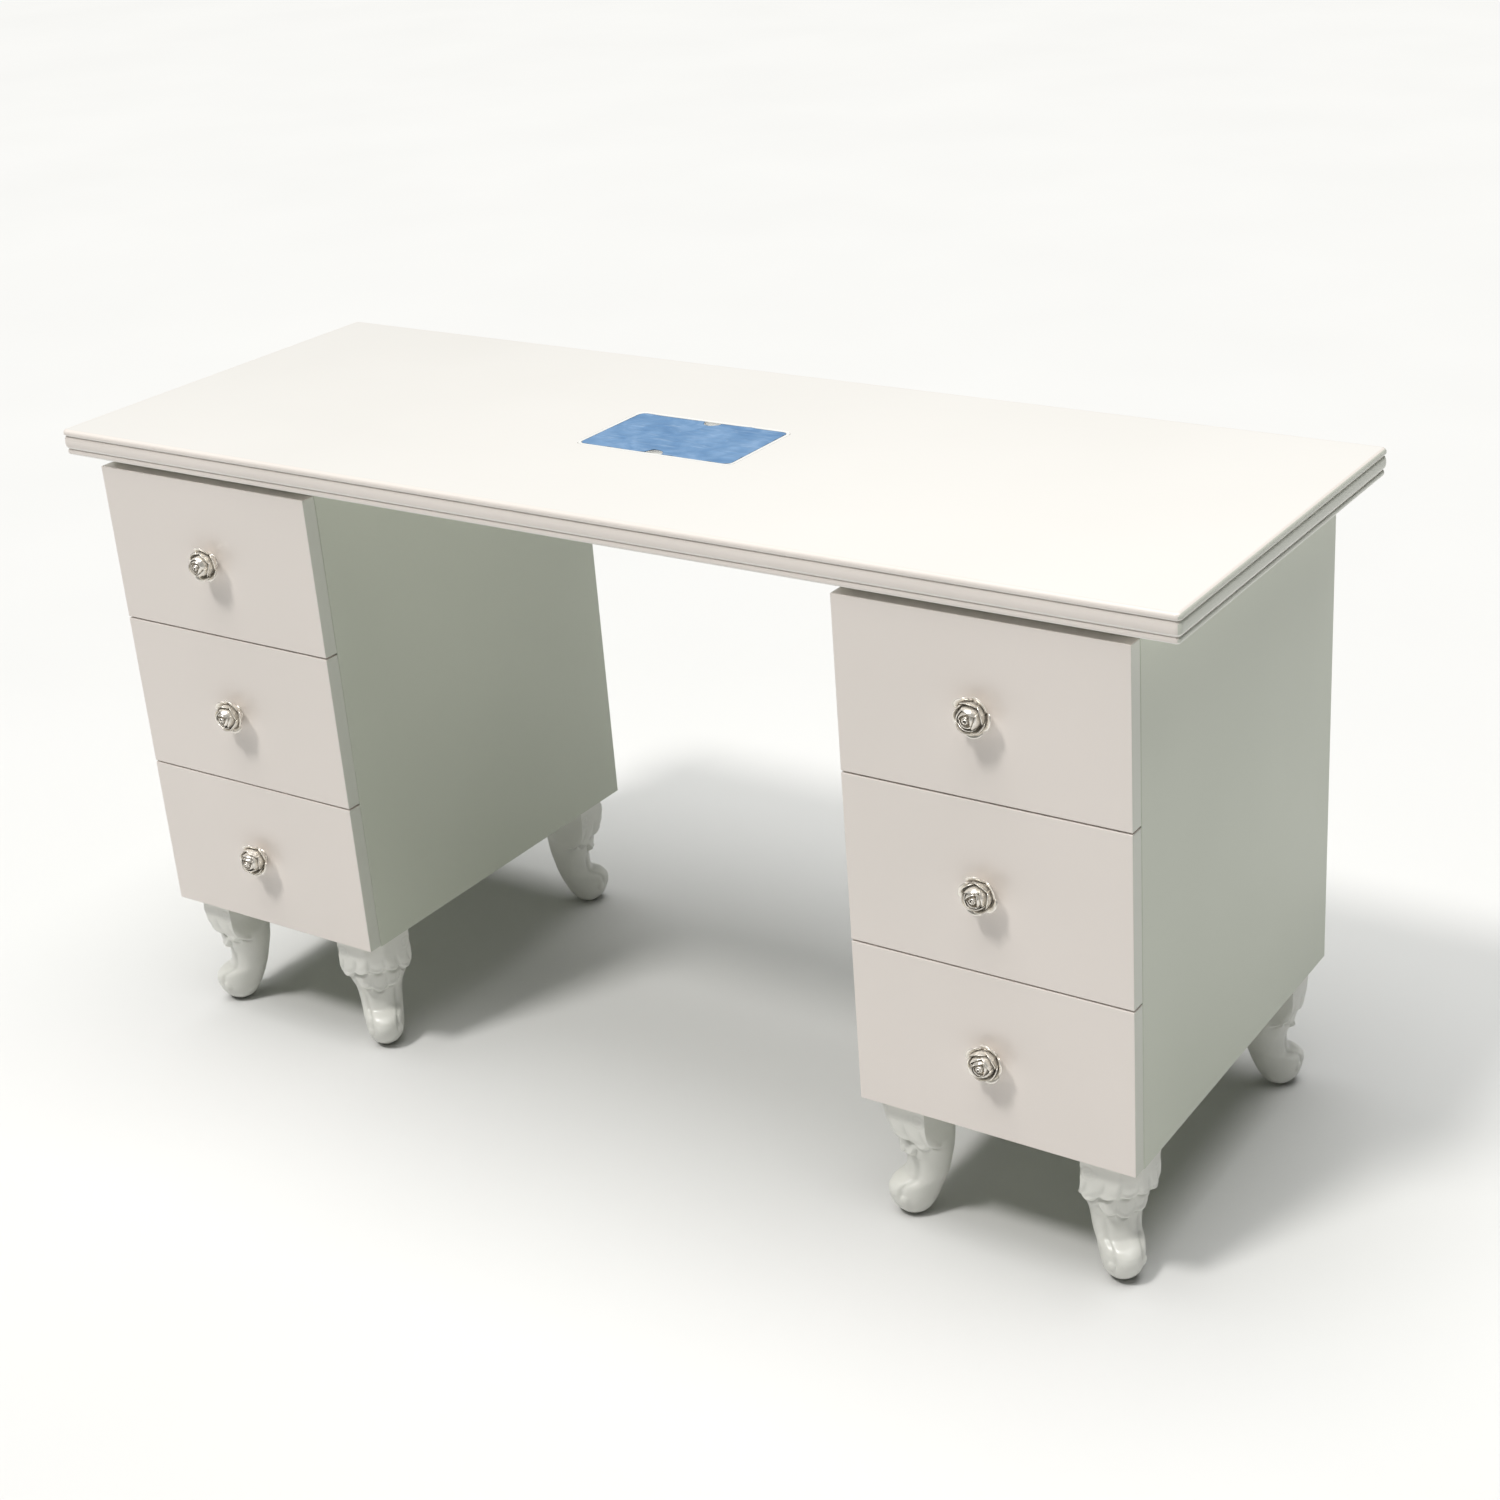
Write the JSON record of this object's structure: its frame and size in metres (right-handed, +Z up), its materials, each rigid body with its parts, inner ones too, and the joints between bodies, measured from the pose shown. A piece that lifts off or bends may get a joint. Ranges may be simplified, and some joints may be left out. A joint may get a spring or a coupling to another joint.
{
  "type": "manicure table",
  "caption": "White lacquered manicure table with a flush dust vent, two drawer pedestals and carved cabriole legs; drawers slide out and the vent cover lifts off.",
  "frame": {"origin": "on the floor, in the middle of the whole footprint, knobs included", "axes": "+X along the table to the technician's right, -Y the way the drawers open, +Z up"},
  "size_m": [1.4, 0.5228, 0.75],
  "materials": {
    "lacquered_top": "high-gloss ivory white lacquer on MDF",
    "lacquered_front": "gloss warm white lacquer on MDF",
    "lacquered_carcass": "gloss white lacquer on MDF",
    "carved_leg": "gloss white lacquer on carved wood",
    "drawer_liner": "satin white foil on board",
    "silver_knob": "bright silver plate",
    "tray_plastic": "white moulded plastic",
    "housing_plastic": "white moulded plastic",
    "cover_metal": "satin",
    "blue_film": "thin blue protective film",
    "filter_felt": "non-woven felt",
    "dark_plastic": "black moulded plastic",
    "runner_plastic": "off-white hard plastic"
  },
  "bodies": {
    "table": {"tabletop": "lacquered_top", "vent_tray": "tray_plastic", "filter_mat": "filter_felt", "fan_frame": "dark_plastic", "fan_guard": "dark_plastic", "fan_housing": "housing_plastic", "power_inlet": "dark_plastic", "left_outer_side_panel": "lacquered_carcass", "left_inner_side_panel": "lacquered_carcass", "left_bottom_panel": "lacquered_carcass", "left_top_panel": "lacquered_carcass", "left_back_panel": "lacquered_carcass", "left_top_outer_runner": "runner_plastic", "left_top_inner_runner": "runner_plastic", "left_middle_outer_runner": "runner_plastic", "left_middle_inner_runner": "runner_plastic", "left_bottom_outer_runner": "runner_plastic", "left_bottom_inner_runner": "runner_plastic", "left_front_outer_leg": "carved_leg", "left_front_inner_leg": "carved_leg", "left_back_outer_leg": "carved_leg", "left_back_inner_leg": "carved_leg", "right_outer_side_panel": "lacquered_carcass", "right_inner_side_panel": "lacquered_carcass", "right_bottom_panel": "lacquered_carcass", "right_top_panel": "lacquered_carcass", "right_back_panel": "lacquered_carcass", "right_top_outer_runner": "runner_plastic", "right_top_inner_runner": "runner_plastic", "right_middle_outer_runner": "runner_plastic", "right_middle_inner_runner": "runner_plastic", "right_bottom_outer_runner": "runner_plastic", "right_bottom_inner_runner": "runner_plastic", "right_front_outer_leg": "carved_leg", "right_front_inner_leg": "carved_leg", "right_back_outer_leg": "carved_leg", "right_back_inner_leg": "carved_leg"},
    "left_top_drawer": {"left_top_drawer_front": "lacquered_front", "left_top_drawer_box": "drawer_liner", "left_top_knob": "silver_knob"},
    "left_middle_drawer": {"left_middle_drawer_front": "lacquered_front", "left_middle_drawer_box": "drawer_liner", "left_middle_knob": "silver_knob"},
    "left_bottom_drawer": {"left_bottom_drawer_front": "lacquered_front", "left_bottom_drawer_box": "drawer_liner", "left_bottom_knob": "silver_knob"},
    "right_top_drawer": {"right_top_drawer_front": "lacquered_front", "right_top_drawer_box": "drawer_liner", "right_top_knob": "silver_knob"},
    "right_middle_drawer": {"right_middle_drawer_front": "lacquered_front", "right_middle_drawer_box": "drawer_liner", "right_middle_knob": "silver_knob"},
    "right_bottom_drawer": {"right_bottom_drawer_front": "lacquered_front", "right_bottom_drawer_box": "drawer_liner", "right_bottom_knob": "silver_knob"},
    "vent_cover": {"vent_cover": "cover_metal", "cover_film": "blue_film"},
    "fan_rotor": {"fan_rotor": "dark_plastic"},
    "rocker_switch": {"rocker_switch": "dark_plastic"}
  },
  "joints": [
    {"name": "left_top_drawer_slide", "type": "slide", "parent": "table", "child": "left_top_drawer", "axis": [0, -1, 0], "range_m": [0, 0.3]},
    {"name": "left_middle_drawer_slide", "type": "slide", "parent": "table", "child": "left_middle_drawer", "axis": [0, -1, 0], "range_m": [0, 0.3]},
    {"name": "left_bottom_drawer_slide", "type": "slide", "parent": "table", "child": "left_bottom_drawer", "axis": [0, -1, 0], "range_m": [0, 0.3]},
    {"name": "right_top_drawer_slide", "type": "slide", "parent": "table", "child": "right_top_drawer", "axis": [0, -1, 0], "range_m": [0, 0.3]},
    {"name": "right_middle_drawer_slide", "type": "slide", "parent": "table", "child": "right_middle_drawer", "axis": [0, -1, 0], "range_m": [0, 0.3]},
    {"name": "right_bottom_drawer_slide", "type": "slide", "parent": "table", "child": "right_bottom_drawer", "axis": [0, -1, 0], "range_m": [0, 0.3]},
    {"name": "vent_cover_lift", "type": "slide", "parent": "table", "child": "vent_cover", "axis": [0, 0, 1], "range_m": [0, 0.05]},
    {"name": "fan_spin", "type": "hinge", "parent": "table", "child": "fan_rotor", "pos_m": [0, 0.0114, 0.703], "axis": [0, 0, 1], "continuous": true},
    {"name": "rocker_switch_tilt", "type": "hinge", "parent": "table", "child": "rocker_switch", "pos_m": [0.075, -0.0526, 0.7019], "axis": [1, 0, 0], "range_deg": [0, 14]}
  ]
}
